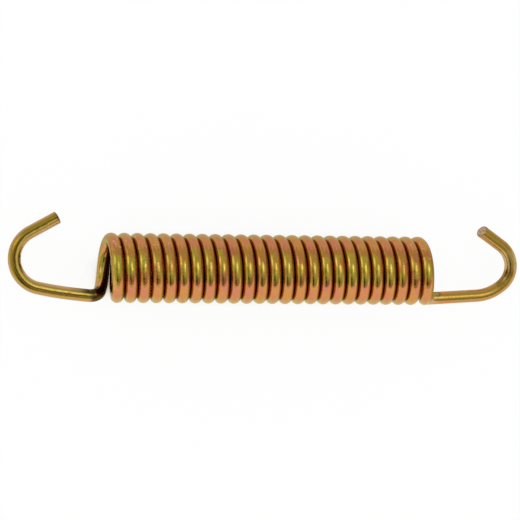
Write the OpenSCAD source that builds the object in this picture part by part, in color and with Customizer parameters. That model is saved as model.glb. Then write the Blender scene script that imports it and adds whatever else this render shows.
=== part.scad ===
// Extension spring: one round wire, wound close in a right-hand coil, with an open side hook at each end.
// The coil lies along X. Both legs leave its -Y side, and both hooks lie level and open toward +Y.

/* [Wire] */
// Diameter of the round wire
wire_d = 2.4; // [1.6:0.1:3]
// Flat faces around the wire
wire_sides = 10; // [6:2:12]

/* [Coil] */
// Outside diameter of the coil
coil_od = 13.34; // [10:0.02:20]
// Number of whole turns
turns = 25; // [6:1:28]
// Air gap between two neighbouring turns
turn_gap = 0.12; // [0.08:0.01:0.6]

/* [Left end] */
// Degrees before the -Y side of the coil where the wire leaves the coil circle
left_lead = 34; // [0:1:50]
// How far the last turn leans out along the coil
left_lean = 1.84; // [0:0.02:3]
// Degrees of the last turn that lean out
left_lean_angle = 105; // [70:5:180]
// Inside radius of the corner between coil and leg
left_corner_r = 1.2; // [0.6:0.1:3]
// Slant of the leg toward +Y where it starts
left_slant = 5.5; // [0:0.5:15]
// Straight length of the leg
left_leg = 2; // [1:0.5:30]
// Inside radius of the gentle bow that ends the leg
left_bow_r = 68.8; // [5:0.1:120]
// Degrees turned by the bow
left_bow_angle = 6.2; // [1:0.1:45]
// Inside radius of the hook
left_hook_r = 4.5; // [2:0.1:12]
// Degrees turned by the hook
left_hook_angle = 139; // [60:1:160]
// Straight length of the hook's tip
left_tip = 6.1; // [1:0.1:15]

/* [Right end] */
// Degrees before the -Y side of the coil where the wire leaves the coil circle
right_lead = 0; // [0:1:50]
// How far the last turn leans out along the coil
right_lean = 0.35; // [0:0.05:3]
// Degrees of the last turn that lean out
right_lean_angle = 110; // [70:5:180]
// Inside radius of the corner between coil and leg
right_corner_r = 1.2; // [0.6:0.1:3]
// Slant of the leg toward +Y where it starts
right_slant = 3.6; // [0:0.1:15]
// Straight length of the leg
right_leg = 8.75; // [1:0.05:30]
// Inside radius of the gentle bow that ends the leg
right_bow_r = 7.8; // [5:0.1:120]
// Degrees turned by the bow
right_bow_angle = 38.7; // [1:0.1:45]
// Inside radius of the hook
right_hook_r = 3.7; // [2:0.1:12]
// Degrees turned by the hook
right_hook_angle = 102.6; // [60:0.1:160]
// Straight length of the hook's tip
right_tip = 5.4; // [1:0.1:15]

/* [Hidden] */
plating = "#b58c3c";

wire_r = wire_d / 2;
mean_r = coil_od / 2 - wire_r;
pitch = wire_d + turn_gap;
coil_len = turns * pitch;

// Degrees of coil between two rings of the mesh, a whole number of steps to the turn
coil_step = 18;
// Largest turn between two rings in the corners and hooks
bend_step = 15;
// The rings straddle the lowest line of the coil, so that it lies on the flats between them
ring_r = mean_r / cos(coil_step / 2);
// Corner radius of the polygon that has the same area as the round wire
ring_corner_r = wire_r * sqrt(2 * PI / (wire_sides * sin(360 / wire_sides)));

function unit(v) = v / norm(v);

// Direction v turned by angle b from +X toward +Y
function turned(v, b) = [v.x * cos(b) - v.y * sin(b), v.x * sin(b) + v.y * cos(b), v.z];

// Each station of the wire is [centre, outward]: a point of its centre line and the way its first corner faces.

// Station of the plain coil, at an angle counted along the wire from the -Y side of the left end
function coil_station(angle) =
    let (outward = [0, -cos(angle), -sin(angle)])
    [ring_r * outward + [pitch * angle / 360 - coil_len / 2, 0, 0], outward];

// Point of the last half turn, at an angle before the -Y side, in a frame at the coil's end with +X outward
function end_turn(before, lean, lean_angle, r) =
    let (out = lean * pow(max(0, 1 - before / lean_angle), 2))
    [out - pitch * before / 360, -r * cos(before), r * sin(before)];

// Stations along a level arc, from point p with heading a
function arc_stations(p, a, r, angle, outward) =
    let (steps = ceil(angle / bend_step))
    [
        for (i = [1:steps])
            let (b = angle * i / steps)
            [p + r * [sin(a + b) - sin(a), cos(a) - cos(a + b), 0], turned(outward, b)]
    ];

// Stations of one end from the last half turn to the tip, in a frame on the axis at the coil's end
function end_run(
    lead, lean, lean_angle, corner_r, slant, leg, bow_r, bow_angle, hook_r, hook_angle, tip_len
) =
    let (
        nudge = 0.01,
        start = end_turn(lead, lean, lean_angle, mean_r),
        before_start = end_turn(lead + nudge, lean, lean_angle, mean_r),
        after_start = end_turn(lead - nudge, lean, lean_angle, mean_r),
        along = unit(after_start - before_start),
        leg_way = [cos(slant), sin(slant), 0],
        outward = unit(cross(along, leg_way)),
        corner_angle = acos(along * leg_way),
        inward = unit(leg_way - cos(corner_angle) * along),
        corner_steps = ceil(corner_angle / bend_step),
        half_turn = [
            for (k = [0:180 / coil_step])
                let (f = 180 - (k + 0.5) * coil_step)
                if (f > lead + coil_step / 3)
                    [end_turn(f, lean, lean_angle, ring_r), [0, -cos(f), sin(f)]]
        ],
        corner = [
            for (i = [0:corner_steps])
                let (b = corner_angle * i / corner_steps)
                [start + (corner_r + wire_r) * (sin(b) * along + (1 - cos(b)) * inward), outward]
        ],
        leg_start = corner[corner_steps][0],
        leg_end = leg_start + leg * leg_way,
        bow = arc_stations(leg_end, slant, bow_r + wire_r, bow_angle, outward),
        bow_end = bow[len(bow) - 1],
        hook_start_angle = slant + bow_angle,
        hook = arc_stations(bow_end[0], hook_start_angle, hook_r + wire_r, hook_angle, bow_end[1]),
        hook_end = hook[len(hook) - 1],
        tip_angle = hook_start_angle + hook_angle,
        tip = hook_end[0] + tip_len * [cos(tip_angle), sin(tip_angle), 0]
    )
    concat(half_turn, corner, [[leg_end, outward]], bow, hook, [[tip, hook_end[1]]]);

// A station moved to the right end of the coil, or turned half round Y to the left end
function at_right(s) = [s[0] + [coil_len / 2, 0, 0], s[1]];
function at_left(s) = [[-s[0].x - coil_len / 2, s[0].y, -s[0].z], [-s[1].x, s[1].y, -s[1].z]];

function reversed(list) = [for (i = [len(list) - 1:-1:0]) list[i]];

left_run = end_run(
    left_lead, left_lean, left_lean_angle, left_corner_r, left_slant, left_leg,
    left_bow_r, left_bow_angle, left_hook_r, left_hook_angle, left_tip
);
right_run = end_run(
    right_lead, right_lean, right_lean_angle, right_corner_r, right_slant, right_leg,
    right_bow_r, right_bow_angle, right_hook_r, right_hook_angle, right_tip
);

// The whole wire, from the tip of the left hook to the tip of the right hook
wire = concat(
    reversed([for (s = left_run) at_left(s)]),
    [
        for (k = [0:(turns - 1) * 360 / coil_step - 1])
            coil_station(180 + (k + 0.5) * coil_step)
    ],
    [for (s = right_run) at_right(s)]
);

// Corners of the ring at station i, square to the wire there
function ring(i) =
    let (
        last = len(wire) - 1,
        t = unit(wire[min(i + 1, last)][0] - wire[max(i - 1, 0)][0]),
        u = unit(wire[i][1] - (wire[i][1] * t) * t),
        v = cross(t, u)
    )
    [
        for (k = [0:wire_sides - 1])
            let (a = 360 * k / wire_sides)
            wire[i][0] + ring_corner_r * (cos(a) * u + sin(a) * v)
    ];

skin = [for (i = [0:len(wire) - 1]) each ring(i)];

skin_faces = concat(
    [
        for (i = [0:len(wire) - 2], k = [0:wire_sides - 1])
            let (
                a = i * wire_sides + k,
                b = i * wire_sides + (k + 1) % wire_sides
            )
            each [[a, a + wire_sides, b], [b, a + wire_sides, b + wire_sides]]
    ],
    [[for (k = [0:wire_sides - 1]) k]],
    [[for (k = [wire_sides - 1:-1:0]) (len(wire) - 1) * wire_sides + k]]
);

function lowest(axis) = min([for (q = skin) q[axis]]);
function highest(axis) = max([for (q = skin) q[axis]]);

// The origin is under the middle of the spring, on the surface that it lies on
origin = [(lowest(0) + highest(0)) / 2, (lowest(1) + highest(1)) / 2, lowest(2)];

module spring() {
    color(plating)
        translate(-origin)
            polyhedron(points = skin, faces = skin_faces, convexity = 10);
}

spring();
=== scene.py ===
import math

import bpy
import numpy as np
from mathutils import Matrix, Vector


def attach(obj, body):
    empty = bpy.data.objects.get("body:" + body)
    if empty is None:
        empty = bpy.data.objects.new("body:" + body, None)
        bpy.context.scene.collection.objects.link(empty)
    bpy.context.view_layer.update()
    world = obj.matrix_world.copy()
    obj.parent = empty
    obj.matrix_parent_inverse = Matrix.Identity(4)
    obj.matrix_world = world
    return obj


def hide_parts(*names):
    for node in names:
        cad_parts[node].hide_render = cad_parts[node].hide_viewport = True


MM = 0.001

# The round wire and the coil, in millimetres. The visible wire reaches the corners of the CAD model's
# ten-sided wire, and the inside radii of the bends are counted from the nominal wire.
WIRE_R = 1.24
NOMINAL_WIRE_R = 1.2
MEAN_R = 5.47
TURNS = 25
PITCH = 2.52
COIL_LEN = TURNS * PITCH

# The two ends, in millimetres and degrees. The wire leaves the coil circle `lead` before the -Y side,
# after leaning out by `lean` over `lean_angle`, and later in it for a higher `lean_power`. The radii
# are on the inside of each bend.
LEFT_END = dict(
    lead=34, lean=1.84, lean_angle=105, lean_power=2.8, corner_r=1.2, slant=5.5, leg=2.1,
    bow_r=68.8, bow_angle=6.2, hook_r=4.5, hook_angle=139, tip=6.1,
)
RIGHT_END = dict(
    lead=0, lean=0.35, lean_angle=110, lean_power=4.0, corner_r=1.2, slant=3.6, leg=8.85,
    bow_r=7.8, bow_angle=38.7, hook_r=3.7, hook_angle=102.6, tip=5.4,
)

# How far the cut of each tip leans back toward the top, for each millimetre of height
LEFT_TIP_SLOPE = -0.12
RIGHT_TIP_SLOPE = 0.42
# The rounded rim of a tip: distance back from the cut and share of the wire's radius
TIP_RIM = ((0.0, 0.86), (0.02, 0.93), (0.07, 0.98), (0.16, 1.0))

# How finely the visible wire is divided: faces around it, degrees, degrees and millimetres
AROUND = 26
COIL_STEP = 3.0
BEND_STEP = 3.0
STRAIGHT_STEP = 0.4

# The hooks' planes in the photo aren't quite level, which is shown in their reflections only.
# The hooks begin this far from the middle of the spring, in millimetres.
HOOKS_FROM = 34.0
LEFT_RISE = math.radians(7)
RIGHT_RISE = math.radians(20)

# The photo's camera: it looks down on the spring from 12 degrees to its left
CAMERA_DISTANCE = 420.0
CAMERA_LEAN = math.radians(12.0)
CAMERA_ROLL = math.radians(0.64)
CAMERA_AIM = (-2.07, -0.16, 6.695)
CAMERA_REACH_M = 10.0
FOCAL_PIXELS = 2176.4
IMAGE_PIXELS = 520
SENSOR_MM = 36.0


def unit(v):
    return v / np.linalg.norm(v)


def level(angle):
    return np.array([math.cos(angle), math.sin(angle), 0.0])


def steps(length, step):
    return max(1, math.ceil(length / step))


def end_turn(before, end):
    """Centre of the wire in the last half turn, at an angle before the -Y side, from the coil's end."""
    out = end["lean"] * max(0.0, 1 - before / end["lean_angle"]) ** end["lean_power"]
    a = math.radians(before)
    return np.array([out - PITCH * before / 360, -MEAN_R * math.cos(a), MEAN_R * math.sin(a)])


def straight(p, heading, length):
    """Centres along a level straight that starts at p."""
    n = steps(length, STRAIGHT_STEP)
    return [p + length * i / n * level(heading) for i in range(1, n + 1)]


def arc(p, heading, radius, angle):
    """Centres along a level bend to the left that starts at p."""
    n = max(steps(math.degrees(angle), BEND_STEP), steps(radius * angle, STRAIGHT_STEP))
    outward = heading - math.pi / 2
    return [p + radius * (level(outward + angle * i / n) - level(outward)) for i in range(1, n + 1)]


def end_run(end):
    """Centres of the wire from half a turn before the coil's end to the hook's tip."""
    nudge = 0.01
    start = end_turn(end["lead"], end)
    along = unit(end_turn(end["lead"] - nudge, end) - end_turn(end["lead"] + nudge, end))
    heading = math.radians(end["slant"])
    leg_way = level(heading)
    corner_angle = math.acos(along @ leg_way)
    inward = unit(leg_way - math.cos(corner_angle) * along)
    corner_r = end["corner_r"] + NOMINAL_WIRE_R
    line = [end_turn(f, end) for f in np.arange(180 - COIL_STEP, end["lead"] + 1, -COIL_STEP)]
    n = steps(math.degrees(corner_angle), BEND_STEP)
    for b in np.linspace(0, corner_angle, n + 1):
        line.append(start + corner_r * (math.sin(b) * along + (1 - math.cos(b)) * inward))
    line += straight(line[-1], heading, end["leg"])
    for radius, degrees in ((end["bow_r"], end["bow_angle"]), (end["hook_r"], end["hook_angle"])):
        angle = math.radians(degrees)
        line += arc(line[-1], heading, radius + NOMINAL_WIRE_R, angle)
        heading += angle
    line += straight(line[-1], heading, end["tip"])
    return line


def wire_line():
    """Centres of the whole wire, from the tip of the left hook to the tip of the right hook."""
    half = COIL_LEN / 2
    left = [np.array([-half - p[0], p[1], -p[2]]) for p in reversed(end_run(LEFT_END))]
    right = [p + np.array([half, 0, 0]) for p in end_run(RIGHT_END)]
    coil = []
    for a in np.arange(180, 360 * (TURNS - 0.5) + 1, COIL_STEP):
        b = math.radians(a)
        coil.append([PITCH * a / 360 - half, -MEAN_R * math.cos(b), -MEAN_R * math.sin(b)])
    return np.array(left + coil + right)


def tangents(line):
    t = np.gradient(line, axis=0)
    return t / np.linalg.norm(t, axis=1)[:, None]


def sweep(line):
    """Rings of vertices around the line, with the distance along it and the angle around it."""
    tangent = tangents(line)
    along = np.concatenate([[0], np.cumsum(np.linalg.norm(np.diff(line, axis=0), axis=1))])
    side = np.empty_like(line)
    side[0] = unit(np.cross(tangent[0], [0, 0, 1]))
    for i in range(1, len(line)):
        side[i] = unit(side[i - 1] - (side[i - 1] @ tangent[i]) * tangent[i])
    over = np.cross(tangent, side)
    turn = np.linspace(0, 2 * math.pi, AROUND, endpoint=False)
    rings = line[:, None] + WIRE_R * (
        np.cos(turn)[None, :, None] * side[:, None] + np.sin(turn)[None, :, None] * over[:, None]
    )
    return rings, along, turn


def cut_tips(rings, line):
    """Each tip is sheared a little off square, toward the top, and its rim is rounded over."""
    rings = rings.copy()
    for tip, inward, slope in ((0, 1, LEFT_TIP_SLOPE), (len(line) - 1, -1, RIGHT_TIP_SLOPE)):
        tangent = unit(line[tip] - line[tip + 3 * inward])
        whole = tip + (len(TIP_RIM) + 2) * inward
        ring = rings[whole] - line[whole]
        for k, (back, share) in enumerate(TIP_RIM):
            offset = ring * share
            set_back = slope * offset[:, 2] + abs(slope) * WIRE_R
            rings[tip + k * inward] = line[tip] - tangent * back + offset - tangent * set_back[:, None]
    return rings


def camera_axes():
    """The camera's right, up and back."""
    forward = np.array([math.sin(CAMERA_LEAN), 0, -math.cos(CAMERA_LEAN)])
    up = np.array([0, 1, 0])
    right = np.cross(forward, up)
    c = math.cos(CAMERA_ROLL)
    s = math.sin(CAMERA_ROLL)
    return c * right + s * up, c * up - s * right, -forward


def lit_normals(rings, line):
    """Ways that the wire faces for its reflections, with each hook raised a little out of level."""
    normals = rings - line[:, None]
    normals /= np.linalg.norm(normals, axis=2)[:, :, None]
    back = camera_axes()[2]
    for i, t in enumerate(tangents(line)):
        if abs(line[i, 0]) < HOOKS_FROM:
            continue
        rise = LEFT_RISE if line[i, 0] < 0 else RIGHT_RISE
        raised = unit(np.array([t[0], t[1] * math.cos(rise), t[1] * math.sin(rise)]))
        raised_middle = unit(back - (back @ raised) * raised)
        level_middle = unit(back - (back @ t) * t)
        share = np.clip(normals[i] @ back, 0, 1)
        normals[i] += share[:, None] * (raised_middle - level_middle)
        normals[i] /= np.linalg.norm(normals[i], axis=1)[:, None]
    return normals


def hook_sides(rings, line):
    """From -1 on the outside of each hook's bend to 1 on its inside."""
    inward = np.cross([0, 0, 1], tangents(line))
    offset = (rings - line[:, None]) / WIRE_R
    return np.einsum("ijk,ik->ij", offset, inward)


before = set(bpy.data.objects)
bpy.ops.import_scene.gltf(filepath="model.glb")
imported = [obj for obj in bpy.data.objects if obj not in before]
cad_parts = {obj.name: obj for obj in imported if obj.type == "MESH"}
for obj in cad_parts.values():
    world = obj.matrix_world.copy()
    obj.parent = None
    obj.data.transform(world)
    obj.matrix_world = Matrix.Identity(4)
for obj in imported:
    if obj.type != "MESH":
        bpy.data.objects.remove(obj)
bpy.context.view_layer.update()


def skin_faces(ring_count):
    """Quads between neighbouring rings, then one face over each cut end."""
    faces = []
    for i in range(ring_count - 1):
        for k in range(AROUND):
            j = (k + 1) % AROUND
            faces.append((i * AROUND + k, i * AROUND + j, (i + 1) * AROUND + j, (i + 1) * AROUND + k))
    faces.append(tuple(range(AROUND - 1, -1, -1)))
    faces.append(tuple((ring_count - 1) * AROUND + k for k in range(AROUND)))
    return faces


def store(mesh, name, kind, field, values):
    """A value or a vector at each vertex, for the material to read."""
    attribute = mesh.attributes.new(name, kind, "POINT")
    attribute.data.foreach_set(field, values.ravel())


def make_wire():
    line = wire_line()
    rings, along, turn = sweep(line)
    low = rings.reshape(-1, 3).min(0)
    high = rings.reshape(-1, 3).max(0)
    origin = np.array([(low[0] + high[0]) / 2, (low[1] + high[1]) / 2, low[2]])
    rings = rings - origin
    line = line - origin
    normals = lit_normals(rings, line)
    sides = hook_sides(rings, line)
    verts = (cut_tips(rings, line) * MM).reshape(-1, 3)
    mesh = bpy.data.meshes.new("spring_wire")
    mesh.from_pydata(verts.tolist(), [], skin_faces(len(line)))
    mesh.update()
    mesh.polygons.foreach_set("use_smooth", [len(f.vertices) == 4 for f in mesh.polygons])
    mesh.polygons.foreach_set("material_index", [int(len(f.vertices) != 4) for f in mesh.polygons])
    space = np.empty((len(line), AROUND, 3))
    space[:, :, 0] = WIRE_R * np.cos(turn)
    space[:, :, 1] = WIRE_R * np.sin(turn)
    space[:, :, 2] = along[:, None]
    store(mesh, "wire_space", "FLOAT_VECTOR", "vector", space)
    store(mesh, "lit_normal", "FLOAT_VECTOR", "vector", normals)
    store(mesh, "hook_side", "FLOAT", "value", sides)
    wire = bpy.data.objects.new("spring_wire", mesh)
    bpy.context.scene.collection.objects.link(wire)
    return wire


class Nodes:
    """Short words for building a node tree."""

    def __init__(self, tree):
        self.tree = tree

    def add(self, kind, **settings):
        node = self.tree.nodes.new(kind)
        for name, value in settings.items():
            setattr(node, name, value)
        return node

    def put(self, socket, value):
        if isinstance(value, bpy.types.NodeSocket):
            self.tree.links.new(value, socket)
        else:
            socket.default_value = value

    def math(self, how, *values):
        node = self.add("ShaderNodeMath", operation=how)
        for socket, value in zip(node.inputs, values):
            self.put(socket, value)
        return node.outputs[0]

    def times(self, product, *values):
        for value in values:
            product = self.math("MULTIPLY", product, value)
        return product

    def plus(self, base, value, weight=1.0):
        """The base with a weighted value added to it."""
        return self.math("MULTIPLY_ADD", value, weight, base)

    def vector(self, how, a, b):
        node = self.add("ShaderNodeVectorMath", operation=how)
        self.put(node.inputs[0], a)
        self.put(node.inputs["Scale" if how == "SCALE" else 1], b)
        return node.outputs["Value" if how in ("DOT_PRODUCT", "DISTANCE") else "Vector"]

    def split(self, vector):
        node = self.add("ShaderNodeSeparateXYZ")
        self.put(node.inputs[0], vector)
        return node.outputs["X"], node.outputs["Y"], node.outputs["Z"]

    def stored(self, name, output):
        return self.add("ShaderNodeAttribute", attribute_name=name).outputs[output]

    def place_mm(self):
        return self.vector("SCALE", self.add("ShaderNodeTexCoord").outputs["Object"], 1 / MM)

    def noise(self, vector, scale, detail=3.0, roughness=0.6):
        node = self.add("ShaderNodeTexNoise")
        self.put(node.inputs["Vector"], vector)
        self.put(node.inputs["Scale"], scale)
        self.put(node.inputs["Detail"], detail)
        self.put(node.inputs["Roughness"], roughness)
        return node.outputs["Fac"]

    def step(self, value, low, high, before=0.0, after=1.0):
        """A smooth change from one result to another between two values."""
        node = self.add("ShaderNodeMapRange", interpolation_type="SMOOTHSTEP")
        self.put(node.inputs["Value"], value)
        self.put(node.inputs["From Min"], low)
        self.put(node.inputs["From Max"], high)
        self.put(node.inputs["To Min"], before)
        self.put(node.inputs["To Max"], after)
        return node.outputs["Result"]

    def mix(self, share, a, b):
        """Colour a, with a share of colour b. A mix node keeps its colours in its last sockets."""
        node = self.add("ShaderNodeMix", data_type="RGBA")
        self.put(node.inputs["Factor"], share)
        self.put(node.inputs[6], a)
        self.put(node.inputs[7], b)
        return node.outputs[2]

    def bump(self, height, strength):
        node = self.add("ShaderNodeBump")
        self.put(node.inputs["Strength"], strength)
        self.put(node.inputs["Distance"], BUMP_DEPTH_M)
        self.put(node.inputs["Height"], height)
        return node


# Colours of the passivated zinc, linear: gold to pink along the coil, browner on the hooks
GOLD = (0.64, 0.43, 0.09, 1)
GREEN = (0.54, 0.42, 0.07, 1)
PINK = (0.65, 0.285, 0.085, 1)
ROSE = (0.66, 0.235, 0.12, 1)
RIM = (0.68, 0.52, 0.28, 1)
OLIVE = (0.47, 0.30, 0.057, 1)
TAN = (0.54, 0.31, 0.13, 1)
BROWN = (0.52, 0.31, 0.075, 1)
RUST = (0.55, 0.28, 0.11, 1)
PALE_RIM = (0.78, 0.62, 0.40, 1)
# What every colour turns to at a grazing angle
EDGE = (0.76, 0.76, 0.50, 1)
# Painted reflections on the left hook: a painted highlight, a painted dark reflected line and paler
# painted reflections
PAINTED_HIGHLIGHT = (0.88, 0.66, 0.24, 1)
PAINTED_PALE_REFLECTION = (0.66, 0.37, 0.18, 1)
PAINTED_DARK_REFLECTION = (0.13, 0.07, 0.02, 1)
# Dirt, wear and painted shade: the first two colours are painted shade, on the sides between the turns
# and near black inside the left strand and its corner, and the second also darkens the left tip and the
# dark marks on the left hook
FLANK_SHADE = (0.42, 0.19, 0.045, 1)
BLACK_SHADE_AND_MARKS = (0.06, 0.035, 0.012, 1)
STAIN = (0.20, 0.13, 0.04, 1)
RUBBED = (0.74, 0.50, 0.24, 1)
FLECK = (0.86, 0.66, 0.38, 1)
# The sheared ends
CUT_LIGHT = (0.72, 0.49, 0.32, 1)
CUT_DARK = (0.44, 0.27, 0.14, 1)

# Changes along the spring: where they begin and end, in mm from its middle, with the value before and
# the value after
LEFT_HOOK = (-36.0, -31.0, 1.0, 0.0)
RIGHT_HOOK = (32.0, 38.0, 0.0, 1.0)
LEFT_FILM = (-34.0, -28.0, -0.26, 0.0)
RIGHT_FILM = (32.0, 38.0, 0.0, -0.14)
LEFT_GREEN = (-34.0, -12.0, 0.10, 0.0)
LEFT_ROUGHNESS = (-34.0, -30.0, 0.03, 0.0)
RIGHT_ROUGHNESS = (32.0, 38.0, 0.0, 0.06)
LEFT_WORN = (-26.0, -16.0, 1.0, 0.0)
RIGHT_WORN = (22.0, 29.0, 0.0, 1.0)
# The same, counted from the middle to both sides
CLOSE_TURNS = (31.5, 36.0, 1.0, 0.0)
WORN_TURNS = (33.0, 36.0, 1.0, 0.0)

# Painted reflection bands along the left hook: middle and half width across the wire, share and colour
HOOK_REFLECTION_BANDS = (
    (0.85, 0.5, 0.8, PAINTED_PALE_REFLECTION),
    (-1.0, 0.4, 0.4, PAINTED_PALE_REFLECTION),
    (0.27, 0.17, 0.9, PAINTED_HIGHLIGHT),
    (-0.07, 0.17, 0.95, PAINTED_DARK_REFLECTION),
)

# Painted shade: the inner side of the strand that leads down to the left leg, and of the corner below
# it, painted near black.
# Each is where all these changes of a place (in mm), a facing way or a side of the bend are 1.
STRAND_SHADE = (
    ("x", -39.5, -37.0, 0.0, 1.0),
    ("x", -30.2, -29.2, 1.0, 0.0),
    ("z", 6.2, 7.8, 1.0, 0.0),
    ("normal_x", -0.04, 0.24, 0.0, 1.0),
)
CORNER_SHADE = (
    ("x", -37.4, -35.0, 0.0, 1.0),
    ("x", -32.5, -31.2, 1.0, 0.0),
    ("y", -6.4, -5.2, 1.0, 0.0),
    ("side", 0.0, 0.5, 0.0, 1.0),
)

# Marks on the plating: centre and radius in mm, share and colour. The first is painted shade in the
# corner of the left leg.
MARKS = (
    ((-33.2, -5.4, 5.5), 1.6, 0.9, BLACK_SHADE_AND_MARKS),
    ((47.9, -2.3, 5.5), 1.6, 0.55, STAIN),
    ((46.9, -4.0, 5.5), 1.2, 0.5, STAIN),
    ((33.6, -6.4, 5.5), 1.4, 0.7, STAIN),
    ((48.2, 0.2, 5.5), 2.6, 0.6, RUBBED),
    ((31.9, -7.4, 6.7), 2.8, 0.5, RUBBED),
    ((-47.7, -0.2, 5.2), 1.2, 0.8, BLACK_SHADE_AND_MARKS),
    ((-47.4, -2.2, 5.2), 1.2, 0.8, BLACK_SHADE_AND_MARKS),
)

BASE_ROUGHNESS = 0.055
BUMP_DEPTH_M = 0.0001


def new_material(name):
    mat = bpy.data.materials.new(name)
    mat.use_nodes = True
    return mat, Nodes(mat.node_tree), mat.node_tree.nodes["Principled BSDF"]


class Surface:
    """What the plating depends on: the place in mm, the way it faces, and several noises."""

    def __init__(self, n):
        self.place = n.place_mm()
        self.x, self.y, self.z = n.split(self.place)
        self.from_middle = n.math("ABSOLUTE", self.x)
        self.grain = n.stored("wire_space", "Vector")
        self.along = n.split(self.grain)[2]
        self.facing = n.add("ShaderNodeLayerWeight").outputs["Facing"]
        self.normal_x, self.normal_y, _ = n.split(n.add("ShaderNodeNewGeometry").outputs["Normal"])
        self.left_hook = n.step(self.x, *LEFT_HOOK)
        self.right_hook = n.step(self.x, *RIGHT_HOOK)

        self.patches = n.noise(self.place, scale=0.17)
        self.blotches = n.noise(self.place, scale=0.55)
        long_grain = n.vector("MULTIPLY", self.grain, (1, 1, 0.5))
        self.flecks = n.noise(long_grain, scale=1.6, roughness=0.7)
        spot_grain = n.vector("MULTIPLY", self.grain, (1, 1, 0.6))
        self.spots = n.noise(spot_grain, scale=0.9, detail=4.0, roughness=0.65)
        line_grain = n.vector("MULTIPLY", self.grain, (6, 6, 0.12))
        self.lines = n.noise(line_grain, scale=1.0, detail=2.0, roughness=0.5)
        self.grit = n.noise(self.grain, scale=3.4, detail=2.0)

        # The side of the hook's bend, made ragged so that the painted reflection bands and the painted
        # shade have no clean edge
        ragged = n.math("SUBTRACT", self.flecks, 0.5)
        self.side = n.plus(n.stored("hook_side", "Fac"), ragged, 0.25)

        worn = n.math("MAXIMUM", n.step(self.x, *LEFT_WORN), n.step(self.x, *RIGHT_WORN))
        self.worn = n.times(worn, n.step(self.from_middle, *WORN_TURNS))

    def where_all(self, n, changes):
        return n.times(*[n.step(getattr(self, name), *edges) for name, *edges in changes])


def film_colour(n, s):
    """The film drifts along the spring and in patches, and shifts where gold turns to pink."""
    slope = n.times(s.normal_y, s.normal_y)
    weights = ((s.facing, 0.45), (s.patches, 0.9), (s.blotches, 0.45), (s.flecks, 0.2))
    film = n.times(slope, 0.75)
    for value, weight in weights:
        film = n.plus(film, value, weight)
    for drift in (LEFT_FILM, RIGHT_FILM):
        film = n.plus(film, n.step(s.x, *drift))
    greenness = n.step(n.plus(s.blotches, n.step(s.x, *LEFT_GREEN)), 0.46, 0.62)
    rosiness = n.step(n.noise(s.place, scale=0.31), 0.42, 0.58)
    pinkness = n.step(film, 0.80, 0.99)
    slant = n.step(s.facing, 0.42, 0.85, 0.0, 0.8)
    colour = n.mix(pinkness, n.mix(greenness, GOLD, GREEN), n.mix(rosiness, PINK, ROSE))
    colour = n.mix(slant, colour, RIM)

    # The hooks have duller films of their own
    redness = n.step(film, 0.80, 1.1)
    colour = n.mix(s.left_hook, colour, n.mix(redness, OLIVE, TAN))
    return n.mix(n.times(s.right_hook, 0.85), colour, n.mix(redness, BROWN, RUST))


def paint_hook_reflections(n, s, colour):
    """The left hook has painted reflections, a dark reflected line with a highlight band beside it and
    paler bands at its edges, and both hooks have paler edges at a grazing angle.
    """
    # Painted reflection bands on the left hook
    for middle, half_width, share, tone in HOOK_REFLECTION_BANDS:
        away = n.math("ABSOLUTE", n.math("SUBTRACT", s.side, middle))
        band = n.step(away, 0.4 * half_width, half_width, share, 0.0)
        colour = n.mix(n.times(band, s.left_hook), colour, tone)
    hooks = n.math("MAXIMUM", s.left_hook, s.right_hook)
    slant = n.step(s.facing, 0.5, 0.9, 0.0, 0.8)
    return n.mix(n.times(hooks, slant), colour, PALE_RIM)


def paint_inner_shade(n, s, colour):
    """Painted shade: the sides that face a neighbouring turn are darker, the inner side of the left
    strand and its corner are near black, and the left tip is darker.
    """
    # Painted shade on the sides that face a neighbouring turn
    to_right = n.step(s.normal_x, 0.34, 0.62)
    to_left = n.step(s.normal_x, -0.97, -0.62, 0.5, 0.0)
    sideways = n.math("MAXIMUM", to_right, to_left)
    close_turns = n.step(s.from_middle, *CLOSE_TURNS)
    colour = n.mix(n.times(sideways, close_turns), colour, FLANK_SHADE)
    # Painted shade, near black, inside the left strand and its corner
    colour = n.mix(n.times(s.where_all(n, STRAND_SHADE), 0.9), colour, BLACK_SHADE_AND_MARKS)
    colour = n.mix(n.times(s.where_all(n, CORNER_SHADE), 0.95), colour, BLACK_SHADE_AND_MARKS)
    # The last of the wire at the left tip is darker
    left_tip = n.step(n.plus(s.along, s.flecks, 0.5), 1.3, 1.55, 0.8, 0.0)
    return n.mix(left_tip, colour, BLACK_SHADE_AND_MARKS)


def add_spots(n, s, colour):
    """Small stains, rubbed spots and the marks that the photo shows."""
    stained = n.step(s.spots, 0.64, 0.74, 0.0, 0.55)
    rubbed = n.step(s.spots, 0.28, 0.36, 0.4, 0.0)
    colour = n.mix(rubbed, n.mix(stained, colour, STAIN), RUBBED)
    ragged = n.math("SUBTRACT", s.spots, 0.5)
    # The first mark is painted shade in the corner of the left leg
    for centre, radius, share, tone in MARKS:
        away = n.plus(n.vector("DISTANCE", s.place, centre), ragged, 3.0)
        colour = n.mix(n.step(away, 0.6 * radius, radius, share, 0.0), colour, tone)
    return colour


def add_flecks(n, s, colour):
    """The worn turns near both ends have pale flecks on their far side."""
    pale = n.step(n.noise(s.grain, scale=2.3, detail=2.0), 0.60, 0.68)
    far_side = n.step(s.normal_y, -0.1, 0.15)
    return n.mix(n.times(pale, far_side, s.worn, 0.6), colour, FLECK)


def plating_roughness(n, s):
    """Drawn lines and stains are rougher, and so are the hooks and the right tip."""
    rough = n.plus(BASE_ROUGHNESS, s.lines, 0.07)
    for drift in (LEFT_ROUGHNESS, RIGHT_ROUGHNESS):
        rough = n.plus(rough, n.step(s.x, *drift))
    right_tip = n.times(s.right_hook, n.step(s.y, -1.0, 4.0))
    stained = n.step(s.spots, 0.6, 0.75)
    rough = n.plus(rough, right_tip, 0.06)
    return n.plus(rough, stained, 0.15)


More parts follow.
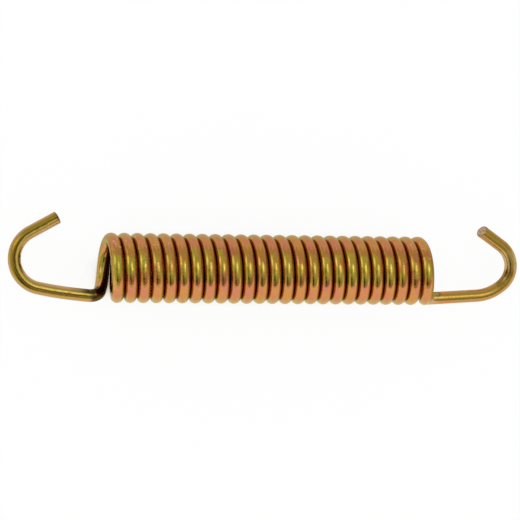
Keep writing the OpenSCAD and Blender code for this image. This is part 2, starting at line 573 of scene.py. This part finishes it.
def plating_relief(n, s):
    """Grit, more of it in patches and on the worn turns, over fine drawn lines."""
    patchy = n.step(s.patches, 0.46, 0.60, 0.6, 1.0)
    grit = n.times(s.grit, patchy, n.plus(1.0, s.worn, 0.4))
    height = n.plus(grit, s.lines, 0.35)
    bump = n.bump(height, strength=0.32)
    n.put(bump.inputs["Normal"], n.stored("lit_normal", "Vector"))
    return bump.outputs["Normal"]


def make_plating():
    mat, n, shader = new_material("yellow_plating")
    s = Surface(n)
    colour = film_colour(n, s)
    for layer in (paint_hook_reflections, paint_inner_shade, add_spots, add_flecks):
        colour = layer(n, s, colour)
    shader.inputs["Metallic"].default_value = 1.0
    shader.inputs["Specular Tint"].default_value = EDGE
    n.put(shader.inputs["Base Color"], colour)
    n.put(shader.inputs["Roughness"], plating_roughness(n, s))
    n.put(shader.inputs["Normal"], plating_relief(n, s))
    return mat


def make_cut():
    """The sheared ends, with a torn face that is paler on the right end."""
    mat, n, shader = new_material("plated_cut")
    place = n.place_mm()
    x = n.split(place)[0]
    tear = n.noise(place, scale=2.2, roughness=0.7)
    right_end = n.step(x, -10.0, 10.0, 0.1, 1.0)
    pale = n.times(n.step(tear, 0.4, 0.62), right_end)
    shader.inputs["Metallic"].default_value = 1.0
    n.put(shader.inputs["Base Color"], n.mix(pale, CUT_DARK, CUT_LIGHT))
    n.put(shader.inputs["Roughness"], n.plus(0.25, tear, 0.2))
    n.put(shader.inputs["Normal"], n.bump(tear, strength=0.5).outputs["Normal"])
    return mat


def make_camera():
    right, up, back = camera_axes()
    data = bpy.data.cameras.new("camera")
    data.sensor_width = SENSOR_MM
    data.lens = SENSOR_MM * FOCAL_PIXELS / IMAGE_PIXELS
    data.clip_end = CAMERA_REACH_M
    camera = bpy.data.objects.new("camera", data)
    bpy.context.scene.collection.objects.link(camera)
    turn = Matrix((right, up, back)).transposed().to_4x4()
    spot = (np.array(CAMERA_AIM) + CAMERA_DISTANCE * back) * MM
    camera.matrix_world = Matrix.Translation(Vector(spot)) @ turn
    bpy.context.scene.camera = camera


# The studio that the wire reflects, in the camera's axes (right, up, back): a white table that rises
# in front, and a dim room with windows and dark patches. Directions are given to their middles, with
# the angles where they begin to fade and end, and their strength.
WHITE = (1, 1, 1, 1)
TABLE_NORMAL = (0.0, 0.5, 0.866)
ROOM = (0.54, 0.57, 0.34, 1)
FAR_ROOM = (0.78, 0.78, 0.74, 1)
WINDOWS = (
    ((0.39, 0.137, 0.91), 2, 17, 1.1),
    ((0.37, -0.12, 0.92), 2, 11, 0.45),
    ((0.08, 0.14, 0.98), 2, 16, 0.12),
    ((-0.66, 0.32, 0.68), 2, 19, 0.75),
)
SHADES = (
    ((-0.15, -0.72, 0.68), 3, 15, 0.85),
    ((-0.22, -0.54, 0.81), 7, 17, 0.75),
    ((-0.05, -0.66, 0.75), 6, 22, 0.35),
    ((0.42, -0.66, 0.62), 6, 22, 0.35),
    ((-0.33, -0.14, 0.93), 3, 14, 0.6),
)


def make_world():
    """The wire's reflections show the studio, and all other light is an even white."""
    world = bpy.data.worlds.new("studio")
    bpy.context.scene.world = world
    world.use_nodes = True
    n = Nodes(world.node_tree)
    n.tree.nodes.clear()
    out = n.add("ShaderNodeOutputWorld")
    background = n.add("ShaderNodeBackground")
    n.put(out.inputs[0], background.outputs[0])
    place = n.add("ShaderNodeTexCoord").outputs["Generated"]
    axes = camera_axes()

    def along(way):
        """How far a direction points the given way, from -1 to 1."""
        world_way = unit(sum(w * a for w, a in zip(way, axes)))
        return n.vector("DOT_PRODUCT", place, tuple(world_way))

    def cap(way, inner, outer):
        """1 within the inner angle of a direction, 0 beyond the outer one."""
        return n.step(along(way), math.cos(math.radians(outer)), math.cos(math.radians(inner)))

    to_left = n.step(along((-1, 0, 0)), 0.5, 0.9)
    to_right = n.step(along((1, 0, 0)), 0.86, 1.0)
    to_far_side = n.step(along((0, 1, 0)), 0.84, 1.0)
    light = n.plus(1.0, to_left, 0.15)
    for way, inner, outer, shade in SHADES:
        light = n.times(light, n.plus(1.0, cap(way, inner, outer), -shade))
    studio = n.vector("SCALE", n.mix(to_far_side, ROOM, FAR_ROOM), light)
    for way, inner, outer, strength in WINDOWS:
        studio = n.vector("ADD", studio, n.times(cap(way, inner, outer), strength))
    above_table = n.step(along(TABLE_NORMAL), -0.07, 0.03)
    studio = n.mix(above_table, WHITE, studio)
    studio = n.vector("SCALE", studio, n.plus(1.0, to_right, -0.25))
    path = n.add("ShaderNodeLightPath")
    n.put(background.inputs["Color"], n.mix(path.outputs["Is Glossy Ray"], WHITE, studio))


# The floor is 4 m square and nearly all white glow, with a little shading so that a soft shadow stays
FLOOR_HALF_M = 2.0
FLOOR_COLOUR = (0.98, 0.98, 0.98, 1)
FLOOR_GLOW = 0.93
# Its reflection is weaker behind the spring than in front: from and to in mm, before and after
FLOOR_FALLOFF = (-12.0, 12.0, 1.0, 0.76)
# Where the spring shuts it in, such as in the gap beside the left strand, it doesn't glow
SHELTER_REACH_M = 0.02
SHELTER_EDGES = (0.22, 0.55)


def make_floor():
    mesh = bpy.data.meshes.new("floor")
    h = FLOOR_HALF_M
    mesh.from_pydata([(-h, -h, 0), (h, -h, 0), (h, h, 0), (-h, h, 0)], [], [(0, 1, 2, 3)])
    floor = bpy.data.objects.new("floor", mesh)
    bpy.context.scene.collection.objects.link(floor)
    mat = bpy.data.materials.new("floor_white")
    mat.use_nodes = True
    n = Nodes(mat.node_tree)
    n.tree.nodes.clear()
    out = n.add("ShaderNodeOutputMaterial")
    mix = n.add("ShaderNodeMixShader")
    diffuse = n.add("ShaderNodeBsdfDiffuse")
    glow = n.add("ShaderNodeEmission")
    path = n.add("ShaderNodeLightPath")
    camera_ray = path.outputs["Is Camera Ray"]
    glossy_ray = path.outputs["Is Glossy Ray"]
    y = n.split(n.place_mm())[1]
    falloff = n.math("SUBTRACT", n.step(y, *FLOOR_FALLOFF), 1.0)
    shelter = n.add("ShaderNodeAmbientOcclusion", samples=16)
    n.put(shelter.inputs["Distance"], SHELTER_REACH_M)
    open_to_sky = n.step(shelter.outputs["AO"], *SHELTER_EDGES)
    glowing = n.math("MAXIMUM", n.times(camera_ray, open_to_sky), glossy_ray)
    n.put(diffuse.inputs["Color"], FLOOR_COLOUR)
    n.put(glow.inputs["Strength"], n.plus(1.0, glossy_ray, falloff))
    n.put(mix.inputs[0], n.times(glowing, FLOOR_GLOW))
    n.put(mix.inputs[1], diffuse.outputs[0])
    n.put(mix.inputs[2], glow.outputs[0])
    n.put(out.inputs[0], mix.outputs[0])
    mesh.materials.append(mat)


wire = make_wire()
wire.data.materials.append(make_plating())
wire.data.materials.append(make_cut())
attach(wire, "root")
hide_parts("spring")
make_camera()
make_world()
make_floor()

view = bpy.context.scene.view_settings
view.view_transform = "Standard"
